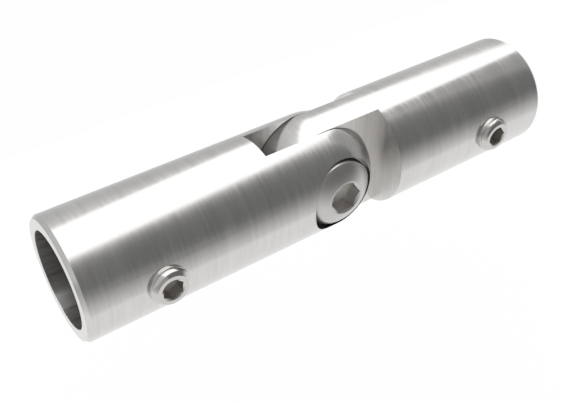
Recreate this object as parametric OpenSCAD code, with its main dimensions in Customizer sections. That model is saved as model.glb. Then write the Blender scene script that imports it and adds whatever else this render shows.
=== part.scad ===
// Adjustable rod joint. Two round sockets, each for the end of a bar, meet in a
// ball-ended fork and tongue that hinge on one screw. A set screw in each socket
// grips its bar. The centre of the fork half's mouth is the origin, the bar line
// is X, the hinge line is Y, and every screw head faces -Y.

/* [Halves] */
// Outside diameter of both halves
body_d = 16; // [15:0.2:19]
// Fork half, from its mouth to the hinge line
fork_len = 36.25; // [34:0.25:60]
// Tongue half, from its mouth to the hinge line
tongue_len = 36.25; // [34:0.25:60]
// Bevel round each mouth, along the bar line
mouth_bevel_len = 0.5; // [0.2:0.05:1]
// Bevel round each mouth, towards the bar line
mouth_bevel_in = 0.35; // [0.15:0.05:0.6]

/* [Sockets] */
// Bore that takes the bar
bar_bore_d = 12.4; // [8:0.1:12.8]
// Depth of the bore from the mouth
bar_depth = 22; // [14:0.5:23]
// Broken edge at the mouth of the bore
bore_break = 0.05; // [0.05:0.05:0.4]

/* [Hinge] */
// Thickness of the tongue
tongue_t = 5; // [3.6:0.1:6]
// Gap between the tongue and each ear
side_gap = 0.1; // [0.05:0.05:0.3]
// Gap between each ball end and the shoulder or slot floor that it faces
end_gap = 1; // [0.6:0.1:2]

/* [Hinge screw] */
// Thread diameter of the hinge screw
hinge_d = 6; // [5:0.1:6.4]
// Thread pitch of the hinge screw
hinge_pitch = 1; // [0.7:0.05:1.25]
// Diameter of its button head
head_d = 9.7; // [9:0.1:10.2]
// Height of the head
head_h = 2.6; // [2.4:0.05:3.2]
// Height of the straight rim under the dome
head_rim_h = 1.2; // [0.6:0.05:1.6]
// Diameter of the flat on top of the dome
head_flat_d = 5; // [4.8:0.1:6]
// Depth of the head's seat below the crest of the fork half
seat_depth = 3.1; // [2.6:0.05:3.4]
// Gap round the head in its recess
head_gap = 0.35; // [0.15:0.05:0.5]
// Hexagon key across flats
head_key = 4; // [3:0.1:4]
// Depth of the hexagon socket
head_key_depth = 1.9; // [1.2:0.1:2.2]
// How far the tail stays inside the far ear
tail_inset = 0.8; // [0.3:0.1:2]
// Bevel at the tail
tail_bevel = 0.6; // [0.3:0.05:0.8]
// Turn of the hexagon, in degrees
head_turn = 3; // [0:1:59]

/* [Set screws] */
// Thread diameter of the set screws
set_d = 5; // [4:0.1:6]
// Thread pitch of the set screws
set_pitch = 0.8; // [0.5:0.05:1]
// How far a set screw's face stands above the tube's crest
set_stand = 1.15; // [0.9:0.05:2.5]
// From each mouth to its set screw
set_from_mouth = 10.1; // [6:0.1:14]
// Hexagon key across flats
set_key = 2.5; // [1.8:0.1:2.5]
// Depth of the hexagon socket
set_key_depth = 1.6; // [1:0.1:1.8]
// Bevel at both ends of a set screw
set_bevel = 0.5; // [0.3:0.05:0.6]
// Diameter of the cup at the tip
cup_d = 2.4; // [1.6:0.1:2.6]
// Depth of the cup
cup_depth = 0.6; // [0.3:0.05:0.8]
// Turn of the fork half's set screw, in degrees
fork_set_turn = 24; // [0:1:59]
// Turn of the tongue half's set screw, in degrees
tongue_set_turn = 7; // [0:1:59]

/* [Key sockets] */
// How far the lead-in cone at a socket's mouth reaches past the hexagon's corners
key_lead = 0.05; // [0.02:0.01:0.1]
// Full angle of the lead-in cone, in degrees
lead_angle = 120; // [90:5:140]

/* [Fits] */
// Radial clearance of the hinge screw in the near ear and the tongue
turn_fit = 0.05; // [0.02:0.01:0.1]
// Radial clearance of a thread in its tapped hole
thread_fit = 0.05; // [0.02:0.01:0.1]
// Clearance under the head of the hinge screw
seat_fit = 0.05; // [0.02:0.01:0.2]
// Clearance between a set screw's tip and the bore
tip_fit = 0.05; // [0.02:0.01:0.3]

/* [Hidden] */
$fn = 96;

body_r = body_d / 2;
bore_r = bar_bore_d / 2;
slot_w = tongue_t + 2 * side_gap;
// Radius about the hinge line that the slot floor and the shoulders keep clear
throat_r = body_r + end_gap;
far_mouth_x = fork_len + tongue_len;
tongue_set_x = far_mouth_x - set_from_mouth;

// Heights along a screw's own line, measured from the bar line towards its head
seat_s = body_r - seat_depth;
head_s = seat_s + seat_fit;
tail_s = -(body_r - tail_inset);
tip_s = bore_r + tip_fit;
set_len = body_r + set_stand - tip_s;

// Larger than any cut has to reach
reach = 2 * body_d;

// Share of the pitch taken by a thread's depth, its crest and one flank
thread_depth_share = 0.6134;
crest_share = 0.125;
flank_share = thread_depth_share * tan(30);

steel = "#b9b8b5";
screw_steel = "#a9a7a4";

// Puts a screw's own line, its head up, on the -Y side at one place on the bar line
module screw_at(x) {
    translate([x, 0, 0]) rotate([90, 0, 0]) children();
}

// Six-sided key socket with a lead-in cone at its mouth, sunk from a face at height top
module key_socket(across_flats, depth, top, turn) {
    corner_r = across_flats / 2 / cos(30);
    mouth_r = corner_r + key_lead;
    cone_depth = mouth_r / tan(lead_angle / 2);
    translate([0, 0, top - depth]) rotate([0, 0, turn])
        cylinder(h = reach, r = corner_r, $fn = 6);
    // The cone runs on above the face to cut clean through it
    translate([0, 0, top - cone_depth]) cylinder(h = 2 * cone_depth, r1 = 0, r2 = 2 * mouth_r);
}

// Points down one side of a thread's outline, one ridge for each turn
function ridge_points(r, pitch, turns) = [
    for (i = [0 : turns - 1], side = [-1, 1], foot = (side < 0 ? [1, 0] : [0, 1]))
        [r - foot * thread_depth_share * pitch,
         pitch * (i + 0.5 + side * (crest_share / 2 + foot * flank_share))]
];

// Outline of a threaded length that runs from height 0 to len, bevelled at its
// lower end, and at its upper end too where upper_bevel is not 0
module thread_outline(d, pitch, len, lower_bevel, upper_bevel) {
    r = d / 2;
    turns = ceil(len / pitch);
    root_r = r - thread_depth_share * pitch;
    intersection() {
        polygon(concat([[0, 0], [root_r, 0]], ridge_points(r, pitch, turns),
            [[root_r, turns * pitch], [0, turns * pitch]]));
        polygon([[0, 0], [r - lower_bevel, 0], [r, lower_bevel],
            [r, len - upper_bevel], [r - upper_bevel, len], [0, len]]);
    }
}

// Round bar from a bevelled mouth at x = 0 to a ball end centred at x = len
module ball_bar(len) {
    rotate([0, 90, 0]) rotate_extrude() {
        polygon([[0, 0], [body_r - mouth_bevel_in, 0], [body_r, mouth_bevel_len],
            [body_r, len], [0, len]]);
        translate([0, len]) intersection() {
            circle(r = body_r);
            square(body_r);
        }
    }
}

// What a drill and a tap take out of a bar: the socket and the set screw's hole
module socket_cuts() {
    rotate([0, 90, 0]) {
        translate([0, 0, -reach]) cylinder(h = bar_depth + reach, r = bore_r);
        translate([0, 0, -bore_break])
            cylinder(h = 2 * bore_break, r1 = bore_r + 2 * bore_break, r2 = bore_r);
    }
    screw_at(set_from_mouth) cylinder(h = reach, r = set_d / 2 + thread_fit);
}

module fork_half() {
    color(steel) difference() {
        ball_bar(fork_len);
        socket_cuts();
        // Slot between the two ears
        translate([fork_len - throat_r, -slot_w / 2, -reach / 2])
            cube([reach, slot_w, reach]);
        screw_at(fork_len) {
            // Clearance hole in the near ear, and the recess for the head
            cylinder(h = reach, r = hinge_d / 2 + turn_fit);
            translate([0, 0, seat_s]) cylinder(h = reach, r = head_d / 2 + head_gap);
            // Tapped hole in the far ear
            translate([0, 0, -reach]) cylinder(h = reach, r = hinge_d / 2 + thread_fit);
        }
    }
}

module tongue_half() {
    color(steel) difference() {
        translate([far_mouth_x, 0, 0]) mirror([1, 0, 0]) {
            difference() {
                ball_bar(tongue_len);
                socket_cuts();
            }
        }
        // Flats that leave the tongue and its two shoulders
        for (side = [0, 1]) mirror([0, side, 0])
            translate([fork_len + throat_r - reach, tongue_t / 2, -reach / 2])
                cube([reach, reach, reach]);
        screw_at(fork_len) translate([0, 0, -reach / 2])
            cylinder(h = reach, r = hinge_d / 2 + turn_fit);
    }
}

// Outline of the button head above its seat: a straight rim under a round dome
module head_outline() {
    rim_r = head_d / 2;
    flat_r = head_flat_d / 2;
    // Height of the dome's centre, so that it meets both the rim and the flat
    dome_s = ((head_h ^ 2 - head_rim_h ^ 2) - (rim_r ^ 2 - flat_r ^ 2))
        / (2 * (head_h - head_rim_h));
    dome_r = norm([rim_r, head_rim_h - dome_s]);
    intersection() {
        translate([0, dome_s]) circle(r = dome_r);
        square([rim_r, head_h]);
    }
}

module hinge_screw() {
    // The plain shank ends at the far side of the slot, where the thread begins
    thread_len = -slot_w / 2 - tail_s;
    color(screw_steel) screw_at(fork_len) difference() {
        union() {
            translate([0, 0, head_s]) rotate_extrude() head_outline();
            translate([0, 0, -slot_w / 2])
                cylinder(h = head_s + slot_w / 2, r = hinge_d / 2);
            translate([0, 0, tail_s]) rotate_extrude()
                thread_outline(hinge_d, hinge_pitch, thread_len, tail_bevel, 0);
            // Core that runs on from the thread through the shank
            translate([0, 0, tail_s + hinge_pitch])
                cylinder(h = head_s - tail_s - hinge_pitch, r = hinge_d / 4);
        }
        key_socket(head_key, head_key_depth, head_s + head_h, head_turn);
    }
}

// Headless screw, threaded all along, with its tip at height 0
module set_screw(turn) {
    difference() {
        rotate_extrude() thread_outline(set_d, set_pitch, set_len, set_bevel, set_bevel);
        key_socket(set_key, set_key_depth, set_len, turn);
        // Cup at the tip, a cone that starts below the tip to cut clean through it
        translate([0, 0, -cup_depth]) cylinder(h = 2 * cup_depth, r1 = cup_d, r2 = 0);
    }
}

module fork_set_screw() {
    color(screw_steel) screw_at(set_from_mouth) translate([0, 0, tip_s])
        set_screw(fork_set_turn);
}

module tongue_set_screw() {
    color(screw_steel) screw_at(tongue_set_x) translate([0, 0, tip_s])
        set_screw(tongue_set_turn);
}

fork_half();
tongue_half();
hinge_screw();
fork_set_screw();
tongue_set_screw();
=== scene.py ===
# Adjustable rod joint: two round stainless sockets, for the ends of two bars, that
# hinge on one sunk button-head screw. Lengths are in metres. The bar line is X, the
# hinge line is Y, and every screw head faces -Y.
import math

import bmesh
import bpy
from mathutils import Matrix, Vector


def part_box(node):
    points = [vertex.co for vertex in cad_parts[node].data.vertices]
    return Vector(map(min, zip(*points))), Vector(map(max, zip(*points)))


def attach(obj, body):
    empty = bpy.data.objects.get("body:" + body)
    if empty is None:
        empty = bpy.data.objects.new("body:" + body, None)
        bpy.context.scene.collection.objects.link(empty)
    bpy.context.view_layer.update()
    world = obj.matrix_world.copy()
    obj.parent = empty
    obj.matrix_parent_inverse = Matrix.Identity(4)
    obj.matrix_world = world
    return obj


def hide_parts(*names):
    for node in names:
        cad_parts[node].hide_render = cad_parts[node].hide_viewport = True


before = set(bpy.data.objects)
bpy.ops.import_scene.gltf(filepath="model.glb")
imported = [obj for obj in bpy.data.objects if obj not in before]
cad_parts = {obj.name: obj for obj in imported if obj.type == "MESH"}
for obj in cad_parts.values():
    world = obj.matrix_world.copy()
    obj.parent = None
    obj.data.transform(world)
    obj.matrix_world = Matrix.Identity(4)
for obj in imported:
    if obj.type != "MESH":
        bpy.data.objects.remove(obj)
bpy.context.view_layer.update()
scene = bpy.context.scene
scene.view_settings.view_transform = 'Standard'
MM = 0.001


# CAMERA
# Stands in front of the hinge screw, above the joint and towards the fork half, with
# a 50 mm lens. Its place and turn were fitted to the outlines in the photograph.
camera = bpy.data.objects.new("camera", bpy.data.cameras.new("camera"))
camera.data.lens = 50
camera.data.sensor_width = 36
camera.data.clip_start = 0.005
camera.data.clip_end = 20
camera_right = Vector((0.8179855, -0.5751868, -0.0077410))
camera_up = Vector((0.3676815, 0.5124438, 0.7760230))
camera_back = Vector((-0.4423913, -0.6376218, 0.6306571))
camera_place = Vector((-15.416284, -67.804501, 63.837183)) * MM
camera.matrix_world = (Matrix.Translation(camera_place)
                       @ Matrix((camera_right, camera_up, camera_back)).transposed().to_4x4())
scene.collection.objects.link(camera)
scene.camera = camera


# FORK HALF AND TONGUE HALF
# Each half is turned from one 16 mm stainless bar, drilled, milled and then brushed
# round the bar with a fine belt. The modelled solids already have their true shape,
# so they stay and get the brushed finish.
def feed(tree, socket, value):
    """Sets a plain value on a socket, or links another node's output to it."""
    if isinstance(value, bpy.types.NodeSocket):
        tree.links.new(value, socket)
    else:
        socket.default_value = value


def calc(tree, operation, a, b=0.0):
    """A math node between two values, each a number or another node's output."""
    node = tree.nodes.new("ShaderNodeMath")
    node.operation = operation
    for socket, value in zip(node.inputs, (a, b)):
        feed(tree, socket, value)
    return node.outputs[0]


def ranged(tree, value, low, high, to_low, to_high):
    """Maps a value from low..high to to_low..to_high, and holds it at both ends."""
    node = tree.nodes.new("ShaderNodeMapRange")
    node.inputs["From Min"].default_value = low
    node.inputs["From Max"].default_value = high
    node.inputs["To Min"].default_value = to_low
    node.inputs["To Max"].default_value = to_high
    tree.links.new(value, node.inputs["Value"])
    return node.outputs["Result"]


def mixed(tree, kind, share, first, second):
    """A mix of two colours ('RGBA') or numbers ('FLOAT'), by the share of the second."""
    mix = tree.nodes.new("ShaderNodeMix")
    mix.data_type = kind
    tree.links.new(share, mix.inputs["Factor"])
    feed(tree, mix.inputs["A"], first)
    feed(tree, mix.inputs["B"], second)
    return mix.outputs["Result"]


def named_group(name, inputs, outputs):
    """A node group with these inputs, each a name and a kind, and these mask outputs."""
    group = bpy.data.node_groups.new(name, "ShaderNodeTree")
    for socket, kind in inputs:
        group.interface.new_socket(socket, in_out="INPUT", socket_type=kind)
    for socket in outputs:
        group.interface.new_socket(socket, in_out="OUTPUT", socket_type="NodeSocketFloat")
    return group, group.nodes.new("NodeGroupInput"), group.nodes.new("NodeGroupOutput")


def brush_lines_group():
    """Belt marks: lines that run where X stays the same, so they go round the bar."""
    group, given, made = named_group(
        "brush_lines",
        [("Vector", "NodeSocketVector"), ("Lines per mm", "NodeSocketFloat"),
         ("Line length mm", "NodeSocketFloat")],
        ["Lines", "Bands"])
    nodes, links = group.nodes, group.links

    def noise_stretched_round(lines_share, length_share, detail):
        across = calc(group, 'MULTIPLY', given.outputs["Lines per mm"], lines_share / MM)
        along = calc(group, 'DIVIDE', length_share / MM, given.outputs["Line length mm"])
        scale = nodes.new("ShaderNodeCombineXYZ")
        links.new(across, scale.inputs["X"])
        links.new(along, scale.inputs["Y"])
        links.new(along, scale.inputs["Z"])
        stretched = nodes.new("ShaderNodeVectorMath")
        stretched.operation = 'MULTIPLY'
        links.new(given.outputs["Vector"], stretched.inputs[0])
        links.new(scale.outputs[0], stretched.inputs[1])
        noise = nodes.new("ShaderNodeTexNoise")
        noise.inputs["Scale"].default_value = 1
        noise.inputs["Detail"].default_value = detail
        noise.inputs["Roughness"].default_value = 0.6
        links.new(stretched.outputs[0], noise.inputs["Vector"])
        return noise.outputs["Fac"]

    fine = noise_stretched_round(lines_share=1, length_share=1, detail=3)
    wide = noise_stretched_round(lines_share=0.22, length_share=0.6, detail=2)
    links.new(fine, made.inputs["Lines"])
    links.new(wide, made.inputs["Bands"])
    return group


BRUSH_LINES = brush_lines_group()


def brush_lines(tree, vector, lines_per_mm, line_length_mm):
    """Places the belt marks in a material."""
    grain = tree.nodes.new("ShaderNodeGroup")
    grain.node_tree = BRUSH_LINES
    grain.inputs["Lines per mm"].default_value = lines_per_mm
    grain.inputs["Line length mm"].default_value = line_length_mm
    tree.links.new(vector, grain.inputs["Vector"])
    return grain


def steel_material(name, colour, roughness, roughness_spread, colour_spread,
                   lines_per_mm, line_length_mm, line_height):
    """Steel whose brushed lines show in its height, its roughness and its colour."""
    material = bpy.data.materials.new(name)
    material.use_nodes = True
    tree = material.node_tree
    surface = tree.nodes["Principled BSDF"]
    surface.inputs["Metallic"].default_value = 1
    place = tree.nodes.new("ShaderNodeTexCoord").outputs["Object"]
    grain = brush_lines(tree, place, lines_per_mm, line_length_mm)
    both = calc(tree, 'ADD', grain.outputs["Lines"], grain.outputs["Bands"])
    # Nearly all of the two together lies in this range
    usual = (0.7, 1.3)
    tree.links.new(ranged(tree, both, *usual, roughness - roughness_spread,
                          roughness + roughness_spread), surface.inputs["Roughness"])
    darker = (*[part * (1 - colour_spread) for part in colour], 1)
    lighter = (*[part * (1 + colour_spread) for part in colour], 1)
    tree.links.new(mixed(tree, 'RGBA', ranged(tree, both, *usual, 0, 1), darker, lighter),
                   surface.inputs["Base Color"])
    bump = tree.nodes.new("ShaderNodeBump")
    bump.inputs["Strength"].default_value = 1
    bump.inputs["Distance"].default_value = line_height
    tree.links.new(both, bump.inputs["Height"])
    tree.links.new(bump.outputs["Normal"], surface.inputs["Normal"])
    return material


def tool_marks_and_painted_light_group():
    """Masks that are 1 where a tool has cut the bar, in the bores and on the milled flats,
    and masks of painted light: painted shade in the screw's recess, and a painted highlight
    in the bores. Streaks runs along the bores."""
    hinge_x = half_length = 36.25 * MM
    bore_r, body_r, bores_from_hinge = 6.24 * MM, 8 * MM, 14 * MM
    recess_r, recess_y = 5.25 * MM, -4.5 * MM
    flats_from_hinge, tongue_half_t, slot_half_w = 9 * MM, 2.5 * MM, 2.6 * MM
    # A point on a flat may come out this far off it
    margin = 0.02 * MM
    names = ["Bore", "Painted recess shade", "Milled", "Streaks", "Painted bore highlight"]
    group, given, made = named_group("tool_marks_and_painted_light", [("Vector", "NodeSocketVector")], names)

    def times(a, b):
        return calc(group, 'MULTIPLY', a, b)

    def minus(a, b):
        return calc(group, 'SUBTRACT', a, b)

    def less(a, b):
        return calc(group, 'LESS_THAN', a, b)

    def size(a):
        return calc(group, 'ABSOLUTE', a)

    def distance(a, b):
        return calc(group, 'SQRT', calc(group, 'ADD', times(a, a), times(b, b)))

    def fades(value, full_at, none_at):
        return ranged(group, value, full_at, none_at, 1, 0)

    axes = group.nodes.new("ShaderNodeSeparateXYZ")
    group.links.new(given.outputs["Vector"], axes.inputs[0])
    x, y, z = axes.outputs
    along = minus(x, hinge_x)
    from_hinge = size(along)
    from_axis = distance(y, z)
    to_side = size(y)
    bore = times(less(from_axis, bore_r), less(bores_from_hinge, from_hinge))

    # The slot's floor and the shoulders face along the bar, the slot's and the tongue's
    # sides face along the hinge
    past_flats = minus(from_hinge, flats_from_hinge)
    ends = times(less(size(past_flats), margin), less(from_axis, body_r - margin))
    sides = times(less(past_flats, margin),
                  times(less(to_side, slot_half_w + margin),
                        less(tongue_half_t - margin, to_side)))
    milled = calc(group, 'MAXIMUM', ends, sides)

    # Painted shade in the recess: weaker above, and gone at the recess's top
    least_shade_share = 0.6
    shade_share = calc(group, 'MAXIMUM', fades(z, -4 * MM, 4 * MM), least_shade_share)
    shade_share = times(shade_share, fades(z, 3.2 * MM, 5.2 * MM))
    recess = times(times(less(distance(along, z), recess_r), less(y, recess_y)), shade_share)

    streaks_per_radian, streaks_per_metre = 9, 90
    angle = calc(group, 'ARCTAN2', z, y)
    round_and_along = group.nodes.new("ShaderNodeCombineXYZ")
    group.links.new(times(angle, streaks_per_radian), round_and_along.inputs["X"])
    group.links.new(times(x, streaks_per_metre), round_and_along.inputs["Y"])
    noise = group.nodes.new("ShaderNodeTexNoise")
    noise.inputs["Scale"].default_value = 1
    noise.inputs["Detail"].default_value = 3
    group.links.new(round_and_along.outputs[0], noise.inputs["Vector"])
    streaks = noise.outputs["Fac"]

    # Painted highlight in the first 3 mm of the bore, on both sides of one line below its front
    highlight_angle, highlight_half_angle = math.radians(-68), math.radians(17)
    highlight_depth, highlight_strength = 3 * MM, 3.2
    from_mouth = minus(half_length, from_hinge)
    bore_highlight = times(fades(size(minus(angle, highlight_angle)), 0, highlight_half_angle),
                   fades(from_mouth, 0, highlight_depth))
    bore_highlight = calc(group, 'MINIMUM', times(bore_highlight, times(streaks, highlight_strength)), 1)

    for name, mask in zip(names, (bore, recess, milled, streaks, times(bore_highlight, bore))):
        group.links.new(mask, made.inputs[name])
    return group


def overlay(material, mask, colour, roughness):
    """Where the mask is 1, the steel gets another colour and roughness, each a plain value
    or another node's output."""
    tree = material.node_tree
    surface = tree.nodes["Principled BSDF"]
    for name, kind, value in (("Base Color", 'RGBA', colour), ("Roughness", 'FLOAT', roughness)):
        socket = surface.inputs[name]
        steel = socket.links[0].from_socket
        tree.links.new(mixed(tree, kind, mask, steel, value), socket)


BODY_STEEL = steel_material("brushed_bar_steel", (0.645, 0.637, 0.625), roughness=0.19,
                            roughness_spread=0.05, colour_spread=0.06, lines_per_mm=2.6,
                            line_length_mm=6, line_height=1.6e-7)
tree = BODY_STEEL.node_tree
place = tree.nodes["Texture Coordinate"].outputs["Object"]
marks = tree.nodes.new("ShaderNodeGroup")
marks.node_tree = tool_marks_and_painted_light_group()
tree.links.new(place, marks.inputs["Vector"])
# The bores are reamed dull, with streaks along them. Their dark colour is painted shade
reamed_roughness = ranged(tree, marks.outputs["Streaks"], 0, 1, 0.05, 0.95)
overlay(BODY_STEEL, marks.outputs["Bore"], (0.33, 0.323, 0.313, 1), reamed_roughness)
# A painted highlight in the bore, near its mouth
overlay(BODY_STEEL, marks.outputs["Painted bore highlight"], (0.97, 0.96, 0.94, 1), 0.3)
# Painted shade: the recess is darkened
overlay(BODY_STEEL, marks.outputs["Painted recess shade"], (0.23, 0.225, 0.22, 1), 0.3)
# The milled flats are duller, with the cutter's fine lines up and down on them. Turned
# by 45 degrees, the lines show on flats that face along the bar or along the hinge
aslant = tree.nodes.new("ShaderNodeVectorRotate")
aslant.rotation_type = 'Z_AXIS'
aslant.inputs["Angle"].default_value = math.radians(45)
tree.links.new(place, aslant.inputs["Vector"])
cutter = brush_lines(tree, aslant.outputs["Vector"], lines_per_mm=3, line_length_mm=9)
milled_colour = mixed(tree, 'RGBA', cutter.outputs["Lines"], (0.58, 0.567, 0.553, 1),
                      (0.88, 0.864, 0.843, 1))
overlay(BODY_STEEL, marks.outputs["Milled"], milled_colour, 0.36)
for half in ("fork_half", "tongue_half"):
    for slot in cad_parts[half].material_slots:
        slot.material = BODY_STEEL


# SET SCREWS
# An M5 socket set screw in each half, rolled from plain stainless, bites the bar with
# its cup point. It stands a little above the bar's crest in its tapped hole.
def screw_steel(name, colour, roughness, roughness_spread, colour_spread):
    """Rolled and punched steel has short fine marks instead of the belt's long lines."""
    return steel_material(name, colour, roughness, roughness_spread, colour_spread,
                          lines_per_mm=1.5, line_length_mm=2, line_height=1e-7)


SCREW_STEEL = screw_steel("plain_screw_steel", (0.59, 0.575, 0.555), roughness=0.11,
                          roughness_spread=0.03, colour_spread=0.01)
# The punched sockets get a darker, browner and rougher steel
SOCKET_STEEL = screw_steel("punched_socket_steel", (0.56, 0.535, 0.51), roughness=0.45,
                           roughness_spread=0.05, colour_spread=0.03)
TURN_STEPS = 96
# Of the pitch. The photographed threads are shallow, with wide crests
THREAD_DEPTH_SHARE = 0.28


def ring_edges(shape, radius, height, turn=0):
    """A ring of edges round Z, its first point turned that many degrees from X."""
    made = bmesh.ops.create_circle(
        shape, segments=TURN_STEPS, radius=radius,
        matrix=Matrix.Translation((0, 0, height)) @ Matrix.Rotation(math.radians(turn), 4, 'Z'))
    return list({edge for point in made["verts"] for edge in point.link_edges})


def next_ring(shape, edges, radius, height):
    """Extrudes a ring to a new radius and height, each a number or a function of the angle."""
    made = bmesh.ops.extrude_edge_only(shape, edges=edges)["geom"]
    for point in made:
        if isinstance(point, bmesh.types.BMVert):
            angle = math.atan2(point.co.y, point.co.x)
            r = radius(angle) if callable(radius) else radius
            z = height(angle) if callable(height) else height
            point.co = (r * math.cos(angle), r * math.sin(angle), z)
    return [edge for edge in made if isinstance(edge, bmesh.types.BMEdge)]


def flat_to_ring(shape, edges, radius, height, outward, turn=0):
    """Closes a flat end from its edge in to a new ring, and returns that ring."""
    # The ring stands clear while it is bridged, since a flat bridge can come out twisted
    ring = ring_edges(shape, radius, height + outward, turn)
    bmesh.ops.bridge_loops(shape, edges=edges + ring)
    for point in {point for edge in ring for point in edge.verts}:
        point.co.z = height
    return ring


def key_mouth_r(across_flats):
    """The lead-in's radius, a little past the corners of the key's hexagon."""
    return across_flats / 2 / math.cos(math.radians(30)) + 0.05


def key_socket(shape, mouth, face, across_flats, depth, turn):
    """Sinks a hexagon socket with a 120 degree lead-in cone and a drilled floor from a
    ring. Its walls, floor and tip get the piece's second material."""
    mouth_r = max(point.co.xy.length for edge in mouth for point in edge.verts)
    apothem = across_flats / 2
    drill_r, drill_tip_depth, tip_r = 0.85 * apothem, 0.4 * apothem, 0.04

    def wall_r(angle):
        from_corner = (math.degrees(angle) - turn) % 60
        return apothem / math.cos(math.radians(from_corner - 30))

    def cone_z(angle):
        return face - (mouth_r - wall_r(angle)) / math.tan(math.radians(60))

    edges = next_ring(shape, mouth, wall_r, cone_z)
    outside = set(shape.faces)
    edges = next_ring(shape, edges, wall_r, face - depth)
    edges = next_ring(shape, edges, drill_r, face - depth)
    edges = next_ring(shape, edges, tip_r, face - depth - drill_tip_depth)
    bmesh.ops.contextual_create(shape, geom=edges)
    for wall in set(shape.faces) - outside:
        wall.material_index = 1


def cut_thread(shape, radius, pitch, low, high, crest_at, envelope):
    """A right-handed thread from height low to high. envelope(height) gives the least and
    the greatest radius there. Returns the rings of edges at both ends."""
    root_r = radius - THREAD_DEPTH_SHARE * pitch
    flank = [(root_r, 0.5), (root_r + 0.03 * pitch, 0.46), (radius - 0.02 * pitch, 0.33),
             (radius - 0.005 * pitch, 0.3), (radius, 0.25)]
    outline = [(r, -share) for r, share in flank] + flank[::-1]
    start = crest_at - pitch * (math.ceil((crest_at - low) / pitch) + 1)
    turns = math.ceil((high - start) / pitch) + 1
    points = [shape.verts.new((r, 0, start + share * pitch)) for r, share in outline]
    lines = [shape.edges.new(pair) for pair in zip(points, points[1:])]
    bmesh.ops.spin(shape, geom=points + lines, axis=(0, 0, 1), angle=math.tau * turns,
                   steps=TURN_STEPS * turns, dvec=(0, 0, pitch / TURN_STEPS))
    bmesh.ops.remove_doubles(shape, verts=shape.verts, dist=1e-4)
    for height, outward in ((low, -1), (high, 1)):
        bmesh.ops.bisect_plane(shape, geom=shape.verts[:] + shape.edges[:] + shape.faces[:],
                               dist=1e-6, plane_co=(0, 0, height), plane_no=(0, 0, outward),
                               clear_outer=True)
    for point in shape.verts:
        least, greatest = envelope(point.co.z)
        r = point.co.xy.length
        point.co.xy *= min(max(r, least), greatest) / r
    return [[edge for edge in shape.edges if edge.is_boundary
             and all(abs(point.co.z - height) < 1e-4 for point in edge.verts)]
            for height in (low, high)]


def finished_piece(shape, name, screw_node):
    """Cleans a mesh, modelled in millimetres up Z from the bar line, and lays it on the
    axis of a screw's CAD node."""
    low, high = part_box(screw_node)
    on_axis = (Matrix.Translation(((low.x + high.x) / 2, 0, 0))
               @ Matrix.Rotation(math.pi / 2, 4, 'X'))
    bmesh.ops.remove_doubles(shape, verts=shape.verts, dist=1e-5)
    bmesh.ops.recalc_face_normals(shape, faces=shape.faces)
    bmesh.ops.transform(shape, verts=shape.verts, matrix=on_axis @ Matrix.Scale(MM, 4))
    mesh = bpy.data.meshes.new(name)
    shape.to_mesh(mesh)
    shape.free()
    mesh.shade_smooth()
    mesh.set_sharp_from_angle(angle=math.radians(28))
    piece = bpy.data.objects.new(name, mesh)
    scene.collection.objects.link(piece)
    return piece


def set_screw(node, turn):
    low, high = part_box(node)
    tip, face = -high.y / MM, -low.y / MM
    radius, pitch, bevel, crest_below_face = 2.5, 0.8, 0.5, 0.77
    key_flats, key_depth = 2.5, 1.6
    cup_r, cup_depth, cup_floor_r = 1.2, 0.58, 0.04

    def envelope(height):
        return 0, min(radius, radius - bevel + min(height - tip, face - height))

    shape = bmesh.new()
    tip_ring, face_ring = cut_thread(shape, radius, pitch, tip, face, face - crest_below_face,
                                     envelope)
    mouth = flat_to_ring(shape, face_ring, key_mouth_r(key_flats), face, outward=1,
                         turn=turn)
    key_socket(shape, mouth, face, key_flats, key_depth, turn)
    cup = flat_to_ring(shape, tip_ring, cup_r, tip, outward=-1)
    cup_floor = next_ring(shape, cup, cup_floor_r, tip + cup_depth)
    bmesh.ops.contextual_create(shape, geom=cup_floor)
    return finished_piece(shape, node + "_rolled", node)


def tapped_rim(half, screw_node):
    """The crests of the tapped thread, which close the gap round the set screw. The ring's
    top follows the round of the bar."""
    inner_r, outer_r, bottom, underside_slope, body_r = 2.505, 2.545, 7.2, 0.05, 8

    def bar_height(r):
        return lambda angle: math.sqrt(body_r ** 2 - (r * math.sin(angle)) ** 2)

    shape = bmesh.new()
    start = ring_edges(shape, outer_r, bottom)
    edges = next_ring(shape, start, outer_r, bar_height(outer_r))
    edges = next_ring(shape, edges, inner_r, bar_height(inner_r))
    edges = next_ring(shape, edges, inner_r, bottom - underside_slope)
    bmesh.ops.bridge_loops(shape, edges=edges + start)
    return finished_piece(shape, half + "_tapped_rim", screw_node)


for half, node in (("fork_half", "fork_set_screw"), ("tongue_half", "tongue_set_screw")):
    rim = tapped_rim(half, node)
    rim.data.materials.append(BODY_STEEL)
    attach(rim, half)

for node, key_turn in (("fork_set_screw", 24), ("tongue_set_screw", 7)):
    screw = set_screw(node, key_turn)
    screw.data.materials.append(SCREW_STEEL)
    screw.data.materials.append(SOCKET_STEEL)
    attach(screw, node)
    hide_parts(node)


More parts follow.
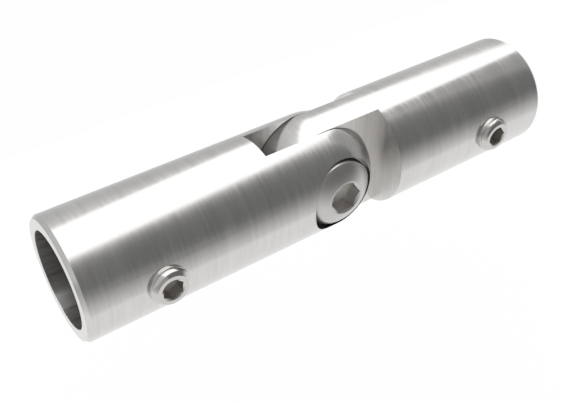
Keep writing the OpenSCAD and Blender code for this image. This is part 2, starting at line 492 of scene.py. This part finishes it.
# HINGE SCREW
# An M6 button-head screw of the same steel. Its plain shank is the hinge pin in the
# near ear and the tongue, its head sits in a recess, and its thread grips the far ear.
def hinge_screw():
    low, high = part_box("hinge_screw")
    tail, face = -high.y / MM, -low.y / MM
    rim_r = (high.x - low.x) / 2 / MM
    shank_r, core_r, pitch, crest_above_tail = 3, 2.72, 1, 0.9
    thread_top, runout, tail_bevel, tail_flat_r = -2.6, 0.6, 0.6, 1.6
    head_h, rim_h, flat_r, under_bevel, rim_rounding = 2.6, 1.2, 2.5, 0.2, 0.65
    key_flats, key_depth, key_turn = 4, 1.9, 3
    dome_rings = 12
    seat = face - head_h

    def envelope(height):
        filled = max(0, 1 - (thread_top - height) / runout)
        return (core_r + (shank_r - core_r) * filled,
                min(shank_r, shank_r - tail_bevel + (height - tail)))

    shape = bmesh.new()
    tail_ring, shank_ring = cut_thread(shape, shank_r, pitch, tail, thread_top,
                                       tail + crest_above_tail, envelope)
    # Head, from the mouth of its socket out over the dome and in under the rim. The dome
    # is part of a ball, through the edge of the flat and the top of the rim
    mouth = ring_edges(shape, key_mouth_r(key_flats), face, key_turn)
    edges = next_ring(shape, mouth, flat_r, face)
    ball_h = ((head_h ** 2 - rim_h ** 2) - (rim_r ** 2 - flat_r ** 2)) / (2 * (head_h - rim_h))
    ball_r = math.hypot(rim_r, rim_h - ball_h)
    for step in range(1, dome_rings + 1):
        r = flat_r + (rim_r - flat_r) * step / dome_rings
        edges = next_ring(shape, edges, r, seat + ball_h + math.sqrt(ball_r ** 2 - r ** 2))
    rim_edges = edges
    edges = next_ring(shape, edges, rim_r, seat + under_bevel)
    edges = next_ring(shape, edges, rim_r - under_bevel, seat)
    edges = next_ring(shape, edges, shank_r, seat)
    # The shank stops just above its thread, and the bridge closes the rest
    edges = next_ring(shape, edges, shank_r, thread_top + 0.05)
    bmesh.ops.bridge_loops(shape, edges=edges + shank_ring)
    key_socket(shape, mouth, face, key_flats, key_depth, key_turn)
    bmesh.ops.bevel(shape, geom=rim_edges, offset=rim_rounding, segments=8, profile=0.5,
                    affect='EDGES', material=-1)
    tail_flat = flat_to_ring(shape, tail_ring, tail_flat_r, tail, outward=-1)
    bmesh.ops.contextual_create(shape, geom=tail_flat)
    return finished_piece(shape, "hinge_screw_forged", "hinge_screw")


screw = hinge_screw()
# Its head was tumbled dull, and its socket gets a lighter steel than the set screws' sockets
screw.data.materials.append(
    screw_steel("tumbled_screw_steel", (0.56, 0.55, 0.535), roughness=0.31,
                roughness_spread=0.03, colour_spread=0.01))
screw.data.materials.append(
    screw_steel("lighter_socket_steel", (0.66, 0.641, 0.618), roughness=0.36,
                roughness_spread=0.05, colour_spread=0.03))
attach(screw, "hinge_screw")
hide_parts("hinge_screw")


# FLOOR AND STUDIO
# The joint lies on a white table in a tent of white cloth with a lit roof. Steel shows
# the roof as its white band, and the walls, lit less, as the grey and dark ones.
def seen_directly(tree):
    """1 for the rays that carry the background: camera, glossy and transmission rays."""
    path = tree.nodes.new("ShaderNodeLightPath")
    rays = path.outputs["Is Camera Ray"]
    for ray in ("Is Glossy Ray", "Is Transmission Ray"):
        rays = calc(tree, 'MAXIMUM', rays, path.outputs[ray])
    return rays


def table_material():
    """White, with a part left for the joint's own shadow."""
    glow_share = 0.92
    material = bpy.data.materials.new("white_table")
    material.use_nodes = True
    tree = material.node_tree
    nodes, links = tree.nodes, tree.links
    nodes.remove(nodes["Principled BSDF"])
    cloth = nodes.new("ShaderNodeBsdfDiffuse")
    cloth.inputs["Color"].default_value = (0.85, 0.85, 0.85, 1)
    white = nodes.new("ShaderNodeEmission")
    white.inputs["Color"].default_value = (1, 1, 1, 1)
    white.inputs["Strength"].default_value = 1
    mix = nodes.new("ShaderNodeMixShader")
    links.new(calc(tree, 'MULTIPLY', seen_directly(tree), glow_share), mix.inputs["Fac"])
    links.new(cloth.outputs[0], mix.inputs[1])
    links.new(white.outputs[0], mix.inputs[2])
    links.new(mix.outputs[0], nodes["Material Output"].inputs["Surface"])
    return material


def cloth(name, corners, material):
    """A stage cloth cut as a fan of triangles from its first corner."""
    shape = bmesh.new()
    for pair in zip(corners[1:], corners[2:]):
        bmesh.ops.contextual_create(shape, geom=[shape.verts.new(c) for c in (corners[0], *pair)])
    mesh = bpy.data.meshes.new(name)
    shape.to_mesh(mesh)
    shape.free()
    mesh.materials.append(material)
    sheet = bpy.data.objects.new(name, mesh)
    scene.collection.objects.link(sheet)
    return sheet


# The table is low enough for the tongue half to hang straight down from the hinge
table_z = -40 * MM
roof_z = 0.5


def lit_cloth_material(name, levels):
    """Glows by height: each pair in levels is a height and how bright the cloth is there."""
    material = bpy.data.materials.new(name)
    material.use_nodes = True
    tree = material.node_tree
    nodes, links = tree.nodes, tree.links
    nodes.remove(nodes["Principled BSDF"])
    axes = nodes.new("ShaderNodeSeparateXYZ")
    links.new(nodes.new("ShaderNodeTexCoord").outputs["Object"], axes.inputs[0])
    ramp = nodes.new("ShaderNodeValToRGB")
    ramp.color_ramp.interpolation = 'EASE'
    links.new(ranged(tree, axes.outputs["Z"], table_z, roof_z, 0, 1), ramp.inputs["Fac"])
    stops = ramp.color_ramp.elements
    while len(stops) < len(levels):
        stops.new(1)
    brightest = max(level for height, level in levels)
    for stop, (height, level) in zip(stops, levels):
        stop.position = (height - table_z) / (roof_z - table_z)
        stop.color = (*[level / brightest] * 3, 1)
    glow = nodes.new("ShaderNodeEmission")
    glow.inputs["Strength"].default_value = brightest
    links.new(ramp.outputs["Color"], glow.inputs["Color"])
    links.new(glow.outputs[0], nodes["Material Output"].inputs["Surface"])
    return material


def tent_cloth(name, corners, levels):
    """Steel mirrors every cloth of the tent, but only the roof lights the table."""
    sheet = cloth(name, corners, lit_cloth_material(name, levels))
    sheet.visible_camera = False
    sheet.visible_diffuse = name == "roof_cloth"


cloth("table", [(-3, -3, table_z), (3, -3, table_z), (3, 3, table_z), (-3, 3, table_z)],
      table_material())

foot_front_left = Vector((-0.008, -0.06, table_z))
foot_front_right = Vector((0.148, -0.06, table_z))
foot_right = Vector((0.16, -0.03, table_z))
foot_back_right = Vector((0.4, 0.086, table_z))
foot_back_left = Vector((-0.16, 0.086, table_z))
foot_left = Vector((-0.12, -0.038, table_z))
# Corners of the roof, first as the slopes at which they are seen from the joint
top_front = Vector((0.108, -0.496, 1)) * roof_z
top_front_right = Vector((0.631, -0.142, 1)) * roof_z
top_right_middle = Vector((0.76, 0.043, 1)) * roof_z
top_right = Vector((1.6, 0.463, 1)) * roof_z
top_back_right = Vector((1.42, 1.62, 1)) * roof_z
top_back = Vector((0.862, 1.475, 1)) * roof_z
top_back_middle = Vector((0.345, 0.95, 1)) * roof_z
top_back_left = Vector((-0.1, 0.45, 1)) * roof_z
top_left = Vector((-0.45, 0.05, 1)) * roof_z
top_front_left = Vector((-0.1, -0.62, 1)) * roof_z

tent_cloth("roof_cloth",
           [top_front, top_front_right, top_right_middle, top_right, top_back_right, top_back,
            top_back_middle, top_back_left, top_left, top_front_left],
           [(0, 1.7), (roof_z, 1.7)])
tent_cloth("front_cloth",
           [foot_front_left, foot_front_right, top_front_right, top_front],
           [(table_z, 0.8), (0.019, 0.2), (roof_z, 1.1)])
tent_cloth("front_left_cloth",
           [foot_left, foot_front_left, top_front, top_front_left],
           [(table_z, 0.78), (0.01, 0.46), (0.05, 0.46), (roof_z, 0.37)])
tent_cloth("left_cloth",
           [foot_back_left, foot_left, top_front_left, top_left, top_back_left],
           [(table_z, 0.86), (0, 0.71), (0.05, 0.71), (roof_z, 0.92)])
tent_cloth("front_right_cloth",
           [foot_front_right, foot_right, top_right, top_right_middle, top_front_right],
           [(table_z, 0.78), (0.01, 0.42), (0.05, 0.42), (roof_z, 0.575)])
tent_cloth("right_cloth",
           [foot_right, foot_back_right, top_back_right, top_right],
           [(table_z, 0.78), (0, 0.605), (0.05, 0.605), (roof_z, 1.06)])
tent_cloth("back_cloth",
           [foot_back_left, top_back_left, top_back_middle, top_back, top_back_right,
            foot_back_right],
           [(table_z, 0.74), (0, 0.63), (roof_z, 0.86)])

world = bpy.data.worlds.new("studio_air")
scene.world = world
world.use_nodes = True
background = world.node_tree.nodes["Background"]
background.inputs["Color"].default_value = (1, 1, 1, 1)
background.inputs["Strength"].default_value = 1
